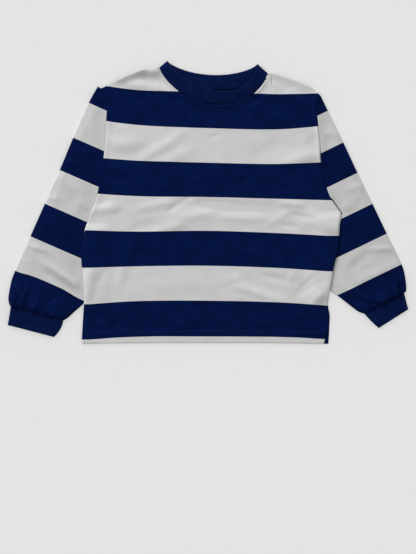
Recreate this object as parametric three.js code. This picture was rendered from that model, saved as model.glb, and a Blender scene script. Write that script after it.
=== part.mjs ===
// A child's striped crew-neck sweatshirt, laid flat on its back with both sleeves drawn down beside the
// body. Each piece that a maker cuts and sews is one closed solid: front, back, two sleeves, two ribbed
// cuffs and the ribbed neckband. Millimetres, +Z up; +Y runs from the hem to the neck, and the garment
// rests on Z = 0. The panels lie on each other with the thin space that laid cloth keeps, and the hem,
// neck, armholes and cuffs are open.
import * as THREE from "three";

// Cloth
const CLOTH = 1.6; // brushed-back sweatshirt knit, one layer
const RIB_CLOTH = 2.6; // ribbing, folded double
const SEAM_GAP = 0.55; // clear space between two pieces that are sewn together
const LAYER_GAP = 0.5; // clear space between two layers that lie on each other
const EDGE_DROP = 0.5; // how far a cut edge rounds down at a seam or a hem
const EDGE_WIDTH = 1.6; // width of that rounding

// Body
const BODY_LENGTH = 452; // hem to the top of the neckband, which is the reach of the whole garment
const HEM_DEPTH = 20; // turned-up hem
const HEM_EXTRA = 0.8; // what the second layer adds there, pressed flat
const NECK_RISE = 1.2; // the front stands this much higher along the neckband
const NECK_RISE_WIDTH = 26;
const LOFT = 0.9; // how far the front stands off the back between its edges
const LOFT_WIDTH = 30; // distance over which it rises from an edge

// Sleeves and ribbing
const SLEEVE_HEIGHT = 2 * CLOTH + 0.6; // both layers of a sleeve and the space between them
const RIB_HEIGHT = 2 * RIB_CLOTH + 0.5; // both layers of a cuff or of the neckband
const SLEEVE_SWELL_FROM = 0.86; // share of the sleeve's length where it starts to swell towards the cuff
const SLEEVE_LOFT = 1.7;
const BODY_OVER_SLEEVE = SLEEVE_HEIGHT + 0.5; // the body's sides lie on the sleeves, at this height
const BAND_DEPTH = 20;
const RIB_PITCH = 3;
const RIB_DEPTH = 0.4;

// Near the underarm the sleeve's rows fan out from that corner.
const FAN = 0.26; // share of the sleeve's length over which its rows stay together there
const FAN_CREEP = 0.02;
const BEND_FADES = 0.22; // share of the length over which the rows lose the armhole's shape

// Steps of the meshes
const ARMHOLE_STEPS = 12;
const SIDE_STEPS = 12;
const SHOULDER_STEPS = 7;
const SLEEVE_ROWS = [0.05, 0.14, 0.26, 0.38, 0.5, 0.6, 0.7, 0.8]; // shares of the sleeve's length
const GATHER_ROWS = [0.87, 0.92, 0.96];
const NECK_STEPS = { front: 20, back: 12 };
const CUFF_STEPS = 8; // across the underside
const BAND_STEPS = 18; // round the back strip
const EDGE_SAMPLES = 120;
const UNDERARM_ROW = 0.47; // share of a panel's rows that lies below the underarms

const OUTWARD = { left: -1, right: 1 };

// The garment's middle, from the line that the tables below measure x from and from the hem.
const MIDDLE = new THREE.Vector2(0, BODY_LENGTH / 2);

// Outlines of the laid garment. x is measured from its middle line, up from its hem.
const UNDERARM = { left: { x: -194.5, up: 190 }, right: { x: 212.5, up: 209 } };
const SHOULDER_TIP = { left: { x: -161.6, up: 412 }, right: { x: 181.6, up: 393 } };
const SIDE_SEAM = {
  left: [
    { x: -202, up: 0 },
    { x: -200, up: 38 },
    { x: -198, up: 62 },
    { x: -198.5, up: 86 },
    { x: -201, up: 118 },
    { x: -202.5, up: 140 },
    { x: -201, up: 161 },
    UNDERARM.left,
  ],
  right: [
    { x: 192.5, up: 0 },
    { x: 194.5, up: 38 },
    { x: 192, up: 62 },
    { x: 195, up: 86 },
    { x: 200, up: 118 },
    { x: 205, up: 140 },
    { x: 208.5, up: 161 },
    { x: 210.5, up: 190 },
    UNDERARM.right,
  ],
};
const ARMHOLE = {
  left: [
    UNDERARM.left,
    { x: -188, up: 209 },
    { x: -179, up: 231 },
    { x: -171.5, up: 265 },
    { x: -168, up: 289 },
    { x: -164.5, up: 322 },
    { x: -163, up: 350 },
    { x: -161.6, up: 378 },
    SHOULDER_TIP.left,
  ],
  right: [
    UNDERARM.right,
    { x: 197, up: 231 },
    { x: 190, up: 247 },
    { x: 185, up: 265 },
    { x: 181, up: 289 },
    { x: 179, up: 322 },
    { x: 176, up: 350 },
    { x: 174.5, up: 378 },
    SHOULDER_TIP.right,
  ],
};
// The sleeve's outer fold, between the shoulder tip and the cuff.
const SLEEVE_OUTER = {
  left: [
    { x: -175.5, up: 410 },
    { x: -190.4, up: 385 },
    { x: -215.5, up: 329 },
    { x: -236.8, up: 278 },
    { x: -260.8, up: 223.5 },
    { x: -284.6, up: 170 },
    { x: -309.8, up: 112.5 },
    { x: -316, up: 92 },
    { x: -319, up: 70 },
  ],
  right: [
    { x: 192, up: 371.7 },
    { x: 215.8, up: 322.7 },
    { x: 238.6, up: 274 },
    { x: 262.7, up: 224 },
    { x: 285.8, up: 176 },
    { x: 308.8, up: 128.5 },
    { x: 315, up: 107 },
    { x: 317, up: 86 },
  ],
};
// The sleeve's inner fold. First it runs along the body's side, at a distance inside that edge, which is
// under the body where it is positive; then it runs free to the cuff.
const SLEEVE_INNER = {
  left: {
    beside: [
      { up: 180, inside: -1 },
      { up: 168, inside: 1.5 },
      { up: 150, inside: 7 },
      { up: 125, inside: 11 },
      { up: 100, inside: 12 },
      { up: 82, inside: 8 },
      { up: 65, inside: -0.5 },
    ],
    free: [
      { x: -212.8, up: 51.4 },
      { x: -224.2, up: 41 },
    ],
  },
  right: {
    beside: [
      { up: 199, inside: -1.4 },
      { up: 187, inside: 1.5 },
      { up: 168, inside: 7 },
      { up: 145, inside: 11 },
      { up: 118, inside: 12 },
      { up: 100, inside: 8.5 },
      { up: 85, inside: -0.5 },
    ],
    free: [
      { x: 209.9, up: 74.4 },
      { x: 228.6, up: 59.7 },
      { x: 240.6, up: 50.9 },
    ],
  },
};
// A cuff's two folds, from the sleeve to its end. bow is how far each stands out between.
const CUFF_FOLDS = {
  left: {
    outer: { x: -315.2, up: 58.4, endX: -320, endUp: 29.6, bow: 0 },
    inner: { x: -231.5, up: 36.6, endX: -246, endUp: 10.4, bow: 3 },
  },
  right: {
    outer: { x: 313.3, up: 81.1, endX: 320, endUp: 54.8, bow: 0 },
    inner: { x: 250.4, up: 47.4, endX: 272.8, endUp: 24.8, bow: 1 },
  },
};
const VENT_HEIGHT = 38;
const VENT_INSET = { front: { left: 0, right: 7.5 }, back: { left: 0, right: 0 } }; // at the hem

// Curves that bow away from a straight line between two points: bow is the deepest drop below it, and
// deepestAt the share of the way across where that lies. left and right make those sides fuller.
const NECK_LEFT = { x: -77.8, up: 441.3 };
const NECK_RIGHT = { x: 95.7, up: 432.2 };
const BAND_LEFT = { x: -65.1, up: 452 };
const BAND_RIGHT = { x: 79.2, up: 446.9 };
const NECK_CURVES = {
  frontSeam: { from: NECK_LEFT, to: NECK_RIGHT, bow: 54.4, deepestAt: 0.5, left: 2, right: 2.5 },
  frontEdge: { from: BAND_LEFT, to: BAND_RIGHT, bow: 45.7, deepestAt: 0.62, left: 1.8, right: 2.6 },
  backSeam: { from: NECK_LEFT, to: NECK_RIGHT, bow: 27.3, deepestAt: 0.5, left: 2, right: 2 },
  backEdge: { from: BAND_LEFT, to: BAND_RIGHT, bow: 20, deepestAt: 0.5, left: 2, right: 2 },
};
const SHOULDER = {
  left: { from: SHOULDER_TIP.left, to: NECK_LEFT, bow: -5.6, deepestAt: 0.5, left: 2, right: 2 },
  right: { from: NECK_RIGHT, to: SHOULDER_TIP.right, bow: -8.3, deepestAt: 0.72, left: 2, right: 2 },
};
const BOW_FULLNESS = 0.75;

// The heights above the hem between which the body's sides lie on the sleeves.
const SLEEVE_UNDER = {
  left: { from: 38, full: 60, fullTo: 180, to: 194 },
  right: { from: 56, full: 79, fullTo: 198, to: 213 },
};
const UNDER_WIDTH = 18; // width of the side that lies at full height
const UNDER_FADE = 30; // width over which it comes down to the middle

// The largest soft folds. angle is from +X in degrees, width is from the crest to where it has faded, and
// a negative height is a trough.
const BODY_FOLDS = [
  { x: -112, up: 431, angle: 14, length: 90, width: 6, height: 1.6 },
  { x: -98, up: 421, angle: 6, length: 80, width: 6, height: -1 },
  { x: -70, up: 412, angle: -14, length: 70, width: 8, height: 1.3 },
  { x: 128, up: 412, angle: -24, length: 70, width: 9, height: 1.1 },
  { x: -112, up: 322, angle: 26, length: 90, width: 13, height: 1 },
  { x: -62, up: 330, angle: 38, length: 90, width: 12, height: 0.9 },
  { x: 96, up: 316, angle: 16, length: 110, width: 12, height: 0.9 },
  { x: -128, up: 232, angle: 20, length: 80, width: 10, height: -0.7 },
  { x: -60, up: 222, angle: 34, length: 90, width: 10, height: 1.3 },
  { x: -22, up: 208, angle: 28, length: 80, width: 11, height: 1.1 },
  { x: 40, up: 216, angle: -12, length: 120, width: 12, height: 1.1 },
  { x: 158, up: 216, angle: -28, length: 80, width: 9, height: 1.5 },
  { x: 140, up: 196, angle: 14, length: 70, width: 8, height: -0.7 },
  { x: 102, up: 112, angle: -24, length: 90, width: 11, height: 1.2 },
  { x: 160, up: 98, angle: 42, length: 80, width: 10, height: 1.5 },
  { x: 176, up: 120, angle: 48, length: 60, width: 8, height: -0.7 },
  { x: -150, up: 96, angle: 78, length: 60, width: 10, height: 1.1 },
  { x: -60, up: 92, angle: 4, length: 150, width: 16, height: 0.8 },
];
const SLEEVE_FOLDS = {
  left: [
    { x: -212, up: 346, angle: 64, length: 80, width: 9, height: 1 },
    { x: -236, up: 244, angle: 30, length: 70, width: 10, height: 1 },
    { x: -258, up: 190, angle: -28, length: 80, width: 12, height: 0.9 },
    { x: -252, up: 131, angle: -30, length: 90, width: 8, height: 1.6 },
    { x: -240, up: 110, angle: -37, length: 90, width: 7, height: -1.4 },
    { x: -246, up: 90, angle: -30, length: 80, width: 9, height: 1.5 },
    { x: -296, up: 98, angle: 72, length: 50, width: 8, height: 1.2 },
  ],
  right: [
    { x: 214, up: 316, angle: -62, length: 80, width: 9, height: 1 },
    { x: 240, up: 250, angle: 30, length: 70, width: 10, height: 1 },
    { x: 248, up: 150, angle: 56, length: 90, width: 9, height: 1.4 },
    { x: 226, up: 132, angle: 66, length: 80, width: 7, height: -1 },
    { x: 214, up: 116, angle: 62, length: 60, width: 8, height: 1.2 },
    { x: 262, up: 84, angle: -28, length: 80, width: 9, height: 1.6 },
    { x: 258, up: 68, angle: -30, length: 70, width: 7, height: -1.3 },
    { x: 300, up: 112, angle: -78, length: 60, width: 9, height: 1.3 },
  ],
};
// Gathers into the cuffs: across is the share of the cuff's width, reach the share of the sleeve's length.
const GATHERS = {
  left: [
    { across: 0.1, width: 0.045, reach: 0.1, height: 1.5 },
    { across: 0.22, width: 0.04, reach: 0.15, height: 1.8 },
    { across: 0.36, width: 0.045, reach: 0.1, height: 1.4 },
    { across: 0.5, width: 0.05, reach: 0.13, height: 1.7 },
    { across: 0.66, width: 0.05, reach: 0.09, height: 1.3 },
    { across: 0.82, width: 0.05, reach: 0.08, height: 1.1 },
  ],
  right: [
    { across: 0.12, width: 0.04, reach: 0.16, height: 1.7 },
    { across: 0.26, width: 0.045, reach: 0.12, height: 1.4 },
    { across: 0.42, width: 0.045, reach: 0.1, height: 1.3 },
    { across: 0.58, width: 0.05, reach: 0.09, height: 1.2 },
    { across: 0.76, width: 0.055, reach: 0.11, height: 1.5 },
  ],
};
const GATHER_FLOOR = 0.5; // the tops of the gathers' troughs above the plain sleeve at the cuff

// Colours
const NAVY = new THREE.MeshStandardMaterial({ color: 0x0b1c4a, roughness: 0.92, metalness: 0 });
const NAVY_RIB = new THREE.MeshStandardMaterial({ color: 0x0d1f45, roughness: 0.94, metalness: 0 });
const OFF_WHITE = new THREE.MeshStandardMaterial({ color: 0xd2d1cf, roughness: 0.9, metalness: 0 });

const lerp = THREE.MathUtils.lerp;
const smooth = THREE.MathUtils.smoothstep;
const point = (row) => new THREE.Vector2(row.x, row.up);
const spline = (rows) => new THREE.SplineCurve(rows.map(point));

// Shares of the way from 0 to 1: even, or closer together at both ends.
const even = (count) => Array.from({ length: count + 1 }, (_, i) => i / count);
const crowdedEnds = (count) => even(count).map((t) => (1 - Math.cos(Math.PI * t)) / 2);

// A curve that bows below the line between its two points, as a function of the share across.
function bowed({ from, to, bow, deepestAt, left, right }) {
  return (t) => {
    const onLeft = t < deepestAt;
    const away = onLeft ? 1 - t / deepestAt : (t - deepestAt) / (1 - deepestAt);
    const drop = bow * (1 - away ** (onLeft ? left : right)) ** BOW_FULLNESS;
    return new THREE.Vector2(lerp(from.x, to.x, t), lerp(from.up, to.up, t) - drop);
  };
}

// A curve by the share of its points' number, straight in between.
function straightBetween(points) {
  const last = points.length - 1;
  return (t) => {
    const i = Math.min(Math.floor(t * last), last - 1);
    return points[i].clone().lerp(points[i + 1], t * last - i);
  };
}

// An armhole from the underarm up, moved out from the body. The body and the sleeve share its stations.
function armhole(side, distance) {
  const curve = spline(ARMHOLE[side]);
  const points = even(ARMHOLE_STEPS).map((t) => {
    const along = curve.getTangentAt(t);
    const outward = new THREE.Vector2(along.y, -along.x).multiplyScalar(OUTWARD[side]);
    return curve.getPointAt(t).addScaledVector(outward, distance);
  });
  return straightBetween(points);
}

// The surface between four edges (Coons): low and high run across, start and finish run from low to high.
function patch(low, high, start, finish) {
  const corners = [low(0), low(1), high(0), high(1)];
  return (u, v) => {
    const sum = new THREE.Vector2();
    sum.addScaledVector(low(u), 1 - v).addScaledVector(high(u), v);
    sum.addScaledVector(start(v), 1 - u).addScaledVector(finish(v), u);
    sum.addScaledVector(corners[0], -(1 - u) * (1 - v)).addScaledVector(corners[1], -u * (1 - v));
    return sum.addScaledVector(corners[2], -(1 - u) * v).addScaledVector(corners[3], -u * v);
  };
}

// The sum of a table's folds at a place.
function foldsAt(folds, at) {
  return folds.reduce((sum, fold) => {
    const turn = THREE.MathUtils.degToRad(fold.angle);
    const dx = at.x - fold.x;
    const dy = at.y - fold.up;
    const along = (dx * Math.cos(turn) + dy * Math.sin(turn)) / (fold.length / 2);
    const across = (dy * Math.cos(turn) - dx * Math.sin(turn)) / fold.width;
    return sum + fold.height * Math.exp(-across * across - along ** 4);
  }, 0);
}

// x on a side seam or an armhole at a height above the hem.
function edgeX(rows) {
  const samples = spline(rows).getSpacedPoints(EDGE_SAMPLES);
  return (up) => {
    const next = samples.findIndex((s) => s.y >= up);
    if (next < 0) return samples.at(-1).x;
    if (next === 0) return samples[0].x;
    const [a, b] = [samples[next - 1], samples[next]];
    return lerp(a.x, b.x, (up - a.y) / (b.y - a.y));
  };
}
const sideX = { left: edgeX(SIDE_SEAM.left), right: edgeX(SIDE_SEAM.right) };
const armholeX = { left: edgeX(ARMHOLE.left), right: edgeX(ARMHOLE.right) };
const bodyX = (side, up) => (up < UNDERARM[side].up ? sideX : armholeX)[side](up);

// How far the body is raised where its sides lie on the sleeves.
function bodyLift(at) {
  return ["left", "right"].reduce((lift, side) => {
    const span = SLEEVE_UNDER[side];
    const inside = OUTWARD[side] * (sideX[side](at.y) - at.x);
    const along = smooth(at.y, span.from, span.full) * (1 - smooth(at.y, span.fullTo, span.to));
    return lift + BODY_OVER_SLEEVE * along * (1 - smooth(inside, UNDER_WIDTH, UNDER_WIDTH + UNDER_FADE));
  }, 0);
}

const hemShare = (at) => 1 - smooth(at.y, HEM_DEPTH - 1, HEM_DEPTH + 1.5);
const panelWall = (at) => CLOTH + HEM_EXTRA * hemShare(at);

// A closed solid from a grid of places, with its upper and lower heights at each.
function slab(name, material, grid, topAt, baseAt) {
  const rows = grid.length;
  const columns = grid[0].length;
  const places = [topAt, baseAt].flatMap((height) =>
    grid.flatMap((row, j) => row.map((at, i) => [at.x, at.y, height(at, i, j)])),
  );
  const id = (layer, i, j) => layer * rows * columns + j * columns + i;
  const faces = [];
  const quad = (a, b, c, d) => faces.push([a, b, c], [a, c, d]);
  for (let j = 0; j + 1 < rows; j++)
    for (let i = 0; i + 1 < columns; i++) {
      quad(id(0, i, j), id(0, i + 1, j), id(0, i + 1, j + 1), id(0, i, j + 1));
      quad(id(1, i, j), id(1, i, j + 1), id(1, i + 1, j + 1), id(1, i + 1, j));
    }
  for (let i = 0; i + 1 < columns; i++) {
    quad(id(1, i, 0), id(1, i + 1, 0), id(0, i + 1, 0), id(0, i, 0));
    quad(id(0, i, rows - 1), id(0, i + 1, rows - 1), id(1, i + 1, rows - 1), id(1, i, rows - 1));
  }
  for (let j = 0; j + 1 < rows; j++) {
    quad(id(0, 0, j), id(0, 0, j + 1), id(1, 0, j + 1), id(1, 0, j));
    quad(id(1, columns - 1, j), id(1, columns - 1, j + 1), id(0, columns - 1, j + 1), id(0, columns - 1, j));
  }
  return solid(name, material, places, faces);
}

function solid(name, material, places, faces) {
  const shape = new THREE.BufferGeometry();
  const flat = places.flatMap(([x, y, z]) => [x - MIDDLE.x, y - MIDDLE.y, z]);
  shape.setAttribute("position", new THREE.Float32BufferAttribute(flat, 3));
  shape.setIndex(faces.flat());
  shape.computeVertexNormals();
  const mesh = new THREE.Mesh(shape, material);
  mesh.name = name;
  return mesh;
}

// Shares across, with one more close to each end where the edge rounds down.
function withRims(shares, length) {
  const rim = EDGE_WIDTH / length;
  return [0, rim, ...shares.filter((t) => t > 1.5 * rim && t < 1 - 1.5 * rim), 1 - rim, 1];
}

// The grid of a body panel: columns stand at the neck's corners, and the rows run from hem to shoulder.
function panelGrid(panel) {
  const neck = bowed(NECK_CURVES[`${panel}Seam`]);
  const [shoulderL, shoulderR] = [bowed(SHOULDER.left), bowed(SHOULDER.right)];
  const span = SHOULDER.right.to.x - SHOULDER.left.from.x;
  const shareOf = (x) => (x - SHOULDER.left.from.x) / span;
  const [neckFrom, neckTo] = [shareOf(NECK_LEFT.x), shareOf(NECK_RIGHT.x)];
  const top = (w) => {
    if (w <= neckFrom) return shoulderL(w / neckFrom);
    if (w >= neckTo) return shoulderR((w - neckTo) / (1 - neckTo));
    return neck((w - neckFrom) / (neckTo - neckFrom));
  };
  const side = (which) => {
    const seam = spline(
      SIDE_SEAM[which].map(({ x, up }) => {
        const open = 1 - smooth(up, 0, VENT_HEIGHT);
        return { x: x - OUTWARD[which] * VENT_INSET[panel][which] * open, up };
      }),
    );
    const above = armhole(which, 0);
    return (v) => {
      if (v < UNDERARM_ROW) return seam.getPointAt(v / UNDERARM_ROW);
      return above((v - UNDERARM_ROW) / (1 - UNDERARM_ROW));
    };
  };
  const [left, right] = [side("left"), side("right")];
  const hem = (w) => new THREE.Vector2(lerp(left(0).x, right(0).x, w), 0);
  const surface = patch(hem, top, left, right);
  const shoulder = even(SHOULDER_STEPS);
  const across = withRims(
    [
      ...shoulder.map((t) => t * neckFrom),
      ...crowdedEnds(NECK_STEPS[panel]).slice(1, -1).map((t) => lerp(neckFrom, neckTo, t)),
      ...shoulder.map((t) => lerp(neckTo, 1, t)),
    ],
    span,
  );
  const atHem = [HEM_DEPTH - 2, HEM_DEPTH + 3].map((up) => up / UNDERARM.left.up);
  const up = withRims(
    [
      ...[...atHem, ...even(SIDE_STEPS).slice(2, -1)].map((t) => t * UNDERARM_ROW),
      ...even(ARMHOLE_STEPS).map((t) => lerp(UNDERARM_ROW, 1, t)),
    ],
    BODY_LENGTH,
  );
  return up.map((v) => across.map((w) => surface(w, v)));
}

// The rounding of a panel's own cut edges: its first and last rows and columns.
function edgeDrop(grid) {
  return (i, j) => (i === 0 || j === 0 || i === grid[0].length - 1 || j === grid.length - 1 ? EDGE_DROP : 0);
}

function backPanel() {
  const grid = panelGrid("back");
  const drop = edgeDrop(grid);
  return slab("back", NAVY, grid, (at, i, j) => bodyLift(at) + panelWall(at) - drop(i, j), bodyLift);
}

function frontPanel() {
  const grid = panelGrid("front");
  const drop = edgeDrop(grid);
  const neckPlaces = even(EDGE_SAMPLES).map(bowed(NECK_CURVES.frontSeam));
  const outline = grid.flatMap((row, j) => row.filter((_, i) => drop(i, j) > 0));
  const nearest = (places, at) => Math.min(...places.map((place) => place.distanceTo(at)));
  const base = (at) => {
    const inside = smooth(nearest(outline, at), 0, LOFT_WIDTH);
    const relief = Math.max(0, LOFT * inside + foldsAt(BODY_FOLDS, at) * smooth(inside, 0, 0.25));
    const neckRise = NECK_RISE * (1 - smooth(nearest(neckPlaces, at), 0, NECK_RISE_WIDTH));
    return bodyLift(at) + panelWall(at) + LAYER_GAP + Math.max(relief, neckRise);
  };
  return slab("front", OFF_WHITE, grid, (at, i, j) => base(at) + panelWall(at) - drop(i, j), base);
}

// A flattened tube of cloth. top and bottom give each layer's places, u across the flat tube and v along
// it; the two layers join in a round fold at u = 0 and u = 1. The wall's outer points are raised by ribs.
function flatTube(tube) {
  const { name, material, top, bottom = top, along, topAcross, bottomAcross, wall, height } = tube;
  const { relief = () => 0, ribs = () => 0 } = tube;
  const foldAngles = [-60, -20, 20, 60].map(THREE.MathUtils.degToRad);
  const outer = [];
  const inner = [];
  along.forEach((v, j) => {
    const atEnd = j === 0 || j === along.length - 1;
    const half = height(v) / 2;
    const width = top(0, v).distanceTo(top(0.5, v)) + top(0.5, v).distanceTo(top(1, v));
    const drop = atEnd ? EDGE_DROP : 0;
    const rings = [[], []];
    const put = (from, shareOuter, shareInner, zOuter, zInner) => {
      const [a, b] = [from(shareOuter, v), from(shareInner, v)];
      rings[0].push([a.x, a.y, zOuter]);
      rings[1].push([b.x, b.y, zInner]);
    };
    const fold = (angles, isFar) =>
      angles.forEach((angle) => {
        const shares = [half, half - wall].map((r) => (half - r * Math.cos(angle)) / width);
        const [a, b] = shares.map((s) => (isFar ? 1 - s : s));
        const from = Math.sin(angle) > 0 ? top : bottom;
        const rise = (r) => half + r * Math.sin(angle);
        put(from, a, b, rise(half) - (angle > 0 ? drop : 0), rise(half - wall));
      });
    const clear = half / width;
    fold(foldAngles, false);
    topAcross(clear).forEach((share, i) => {
      const z = 2 * half + relief(share, v, top(share, v));
      put(top, share, share, z - drop + (atEnd ? 0 : ribs(i)), z - wall);
    });
    fold([...foldAngles].reverse(), true);
    bottomAcross(clear).reverse().forEach((share) => put(bottom, share, share, 0, wall));
    outer.push(rings[0]);
    inner.push(rings[1]);
  });
  const size = outer[0].length;
  const id = (layer, i, j) => layer * along.length * size + j * size + (i % size);
  const faces = [];
  const [over, on] = [top(0.6, 0.5).sub(top(0.4, 0.5)), top(0.5, 0.6).sub(top(0.5, 0.4))];
  const turned = over.cross(on) > 0;
  const quad = (a, b, c, d) => {
    if (turned) faces.push([a, c, b], [a, d, c]);
    else faces.push([a, b, c], [a, c, d]);
  };
  for (let j = 0; j + 1 < along.length; j++)
    for (let i = 0; i < size; i++) {
      quad(id(0, i, j), id(0, i, j + 1), id(0, i + 1, j + 1), id(0, i + 1, j));
      quad(id(1, i, j), id(1, i + 1, j), id(1, i + 1, j + 1), id(1, i, j + 1));
    }
  for (let i = 0; i < size; i++) {
    const last = along.length - 1;
    quad(id(0, i, 0), id(0, i + 1, 0), id(1, i + 1, 0), id(1, i, 0));
    quad(id(0, i, last), id(1, i, last), id(1, i + 1, last), id(0, i + 1, last));
  }
  return solid(name, material, [...outer.flat(), ...inner.flat()], faces);
}

// Every other station stands up as a rib.
const alternate = (i) => (i % 2 ? RIB_DEPTH : 0);
// Shares across a tube's flat part, kept clear of its folds: spread between them, or left where they are.
const spread = (shares) => (clear) => shares.map((u) => lerp(clear, 1 - clear, u));
const held = (shares) => (clear) => shares.map((u) => THREE.MathUtils.clamp(u, clear, 1 - clear));
const ribStations = (length) => even(2 * Math.round(length / RIB_PITCH));

function cuffEdge(side, fold) {
  const { x, up, endX, endUp, bow } = CUFF_FOLDS[side][fold];
  const out = fold === "outer" ? OUTWARD[side] : -OUTWARD[side];
  return (t) => new THREE.Vector2(lerp(x, endX, t) + out * bow * 4 * t * (1 - t), lerp(up, endUp, t));
}

function sleeve(side) {
  const above = armhole(side, SEAM_GAP);
  const seam = (u) => above(1 - u);
  const [outerEnd, innerEnd] = [cuffEdge(side, "outer")(0), cuffEdge(side, "inner")(0)];
  const outer = new THREE.SplineCurve([seam(0), ...SLEEVE_OUTER[side].map(point), outerEnd]);
  const { beside, free } = SLEEVE_INNER[side];
  const under = beside.map(({ up, inside }) => point({ x: sideX[side](up) - OUTWARD[side] * inside, up }));
  const inner = new THREE.SplineCurve([seam(1), ...under, ...free.map(point), innerEnd]);
  const innerShare = (v) => lerp(Math.max(0, (v - FAN) / (1 - FAN)) ** 1.5, v, FAN_CREEP);
  const surface = (u, v) => {
    const bend = seam(u).sub(seam(0).lerp(seam(1), u));
    const across = outer.getPointAt(v).lerp(inner.getPointAt(innerShare(v)), u);
    return across.addScaledVector(bend, 1 - smooth(v, 0, BEND_FADES));
  };
  const outside = (at) => OUTWARD[side] * (at.x - bodyX(side, at.y));
  const relief = (u, v, at) => {
    const clear = smooth(outside(at), 4, 26) * smooth(Math.min(u, 1 - u), 0, 0.16);
    const soft = SLEEVE_LOFT * clear + foldsAt(SLEEVE_FOLDS[side], at) * smooth(clear, 0, 0.5);
    const gathered = GATHERS[side].reduce((sum, g) => {
      const across = (u - g.across) / g.width;
      return sum + g.height * Math.exp(-across * across) * smooth(v, 1 - g.reach, 1 - g.reach / 3);
    }, GATHER_FLOOR * smooth(v, 0.9, 1));
    const besideFold = smooth(Math.min(u, 1 - u), 0, 0.05);
    const nearCuff = smooth(v, SLEEVE_SWELL_FROM, 1);
    return Math.max(0, soft) * (1 - nearCuff) + gathered * besideFold * (1 - smooth(v, 0.985, 1));
  };
  return flatTube({
    name: `sleeve_${side}`,
    material: OFF_WHITE,
    top: surface,
    along: withRims([...SLEEVE_ROWS, ...GATHER_ROWS], outer.getLength()),
    topAcross: held(even(2 * ARMHOLE_STEPS)),
    bottomAcross: held(even(ARMHOLE_STEPS)),
    wall: CLOTH,
    height: (v) => lerp(SLEEVE_HEIGHT, RIB_HEIGHT, smooth(v, SLEEVE_SWELL_FROM, 1)),
    relief,
  });
}

function cuff(side) {
  const [outer, inner] = [cuffEdge(side, "outer"), cuffEdge(side, "inner")];
  const length = outer(0).distanceTo(outer(1));
  const surface = (u, v) => {
    const t = lerp(SEAM_GAP / length, 1, v);
    return outer(t).lerp(inner(t), u);
  };
  const width = surface(0, 0.5).distanceTo(surface(1, 0.5));
  return flatTube({
    name: `cuff_${side}`,
    material: NAVY_RIB,
    top: surface,
    along: withRims([], length),
    topAcross: spread(ribStations(width)),
    bottomAcross: spread(even(CUFF_STEPS)),
    wall: RIB_CLOTH,
    height: () => RIB_HEIGHT,
    ribs: alternate,
  });
}

function neckband() {
  const [frontSeam, frontEdge] = [bowed(NECK_CURVES.frontSeam), bowed(NECK_CURVES.frontEdge)];
  const [backSeam, backEdge] = [bowed(NECK_CURVES.backSeam), bowed(NECK_CURVES.backEdge)];
  const start = SEAM_GAP / (BAND_LEFT.x - NECK_LEFT.x);
  const strip = (seam, edge) => (u, v) => seam(u).lerp(edge(u), lerp(start, 1, v));
  const front = strip(frontSeam, frontEdge);
  const length = new THREE.SplineCurve(even(EDGE_SAMPLES).map((t) => front(t, 0.5))).getLength();
  return flatTube({
    name: "neckband",
    material: NAVY_RIB,
    top: front,
    bottom: strip(backSeam, backEdge),
    along: withRims([], BAND_DEPTH),
    topAcross: spread(ribStations(length)),
    bottomAcross: spread(crowdedEnds(BAND_STEPS)),
    wall: RIB_CLOTH,
    height: () => RIB_HEIGHT,
    ribs: alternate,
  });
}

const sweatshirt = new THREE.Group();
sweatshirt.add(
  backPanel(),
  frontPanel(),
  sleeve("left"),
  sleeve("right"),
  cuff("left"),
  cuff("right"),
  neckband(),
);

export default sweatshirt;
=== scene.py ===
# Looks of a child's striped sweatshirt that lies flat on its back, seen from straight above.
# Sizes and places are in millimetres until a mesh is made. x is measured from the garment's middle line
# and up from its hem, as in the solids; z is the height above the floor.
import math
from collections import namedtuple

import bpy
import numpy as np
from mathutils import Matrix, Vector
from mathutils.bvhtree import BVHTree


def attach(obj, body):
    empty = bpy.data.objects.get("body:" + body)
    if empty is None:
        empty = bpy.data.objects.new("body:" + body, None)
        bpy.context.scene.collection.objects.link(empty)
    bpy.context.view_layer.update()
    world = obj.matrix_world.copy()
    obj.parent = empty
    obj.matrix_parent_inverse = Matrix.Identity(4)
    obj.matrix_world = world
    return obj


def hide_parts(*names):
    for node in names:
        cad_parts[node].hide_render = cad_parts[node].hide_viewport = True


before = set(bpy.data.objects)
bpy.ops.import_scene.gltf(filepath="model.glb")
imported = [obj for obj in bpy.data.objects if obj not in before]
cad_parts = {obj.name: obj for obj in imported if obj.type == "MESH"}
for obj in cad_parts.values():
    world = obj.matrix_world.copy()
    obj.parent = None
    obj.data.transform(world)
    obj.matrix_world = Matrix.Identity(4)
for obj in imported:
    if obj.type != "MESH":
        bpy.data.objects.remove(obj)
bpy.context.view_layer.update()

MM = 0.001

# The camera, straight above the photograph's middle
PHOTO_HEIGHT = 554  # in pixels
PIXEL = 1.6  # what one of them shows at the garment
PHOTO_MIDDLE_UP = 106.4
CAMERA_HEIGHT = 2200
SENSOR = 36

# Cloth
CLOTH = 1.6  # brushed-back jersey, one layer
RIB_CLOTH = 2.6  # ribbing, folded double
SEAM_GAP = 0.01  # space between two pieces that are sewn together
LAYER_GAP = 0.2  # space between two layers that lie on each other

# How a piece's upper side turns down at its edges
Edge = namedtuple("Edge", "width depth")
SEAM_EDGE = Edge(2.2, 1.1)
SHOULDER_EDGE = Edge(1.1, 0.7)
HEM_EDGE = Edge(1.5, 0.8)
SIDE_EDGE = Edge(4.5, 1.5)
ARMHOLE_EDGE = Edge(3.4, 1.3)
SLEEVE_HEAD_EDGE = Edge(1.2, 0.2)
EDGE_STEPS = (0, 0.25, 0.7, 1.3, 2.2, 3.4, 5)  # distances of the rows of vertices that shape an edge

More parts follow.
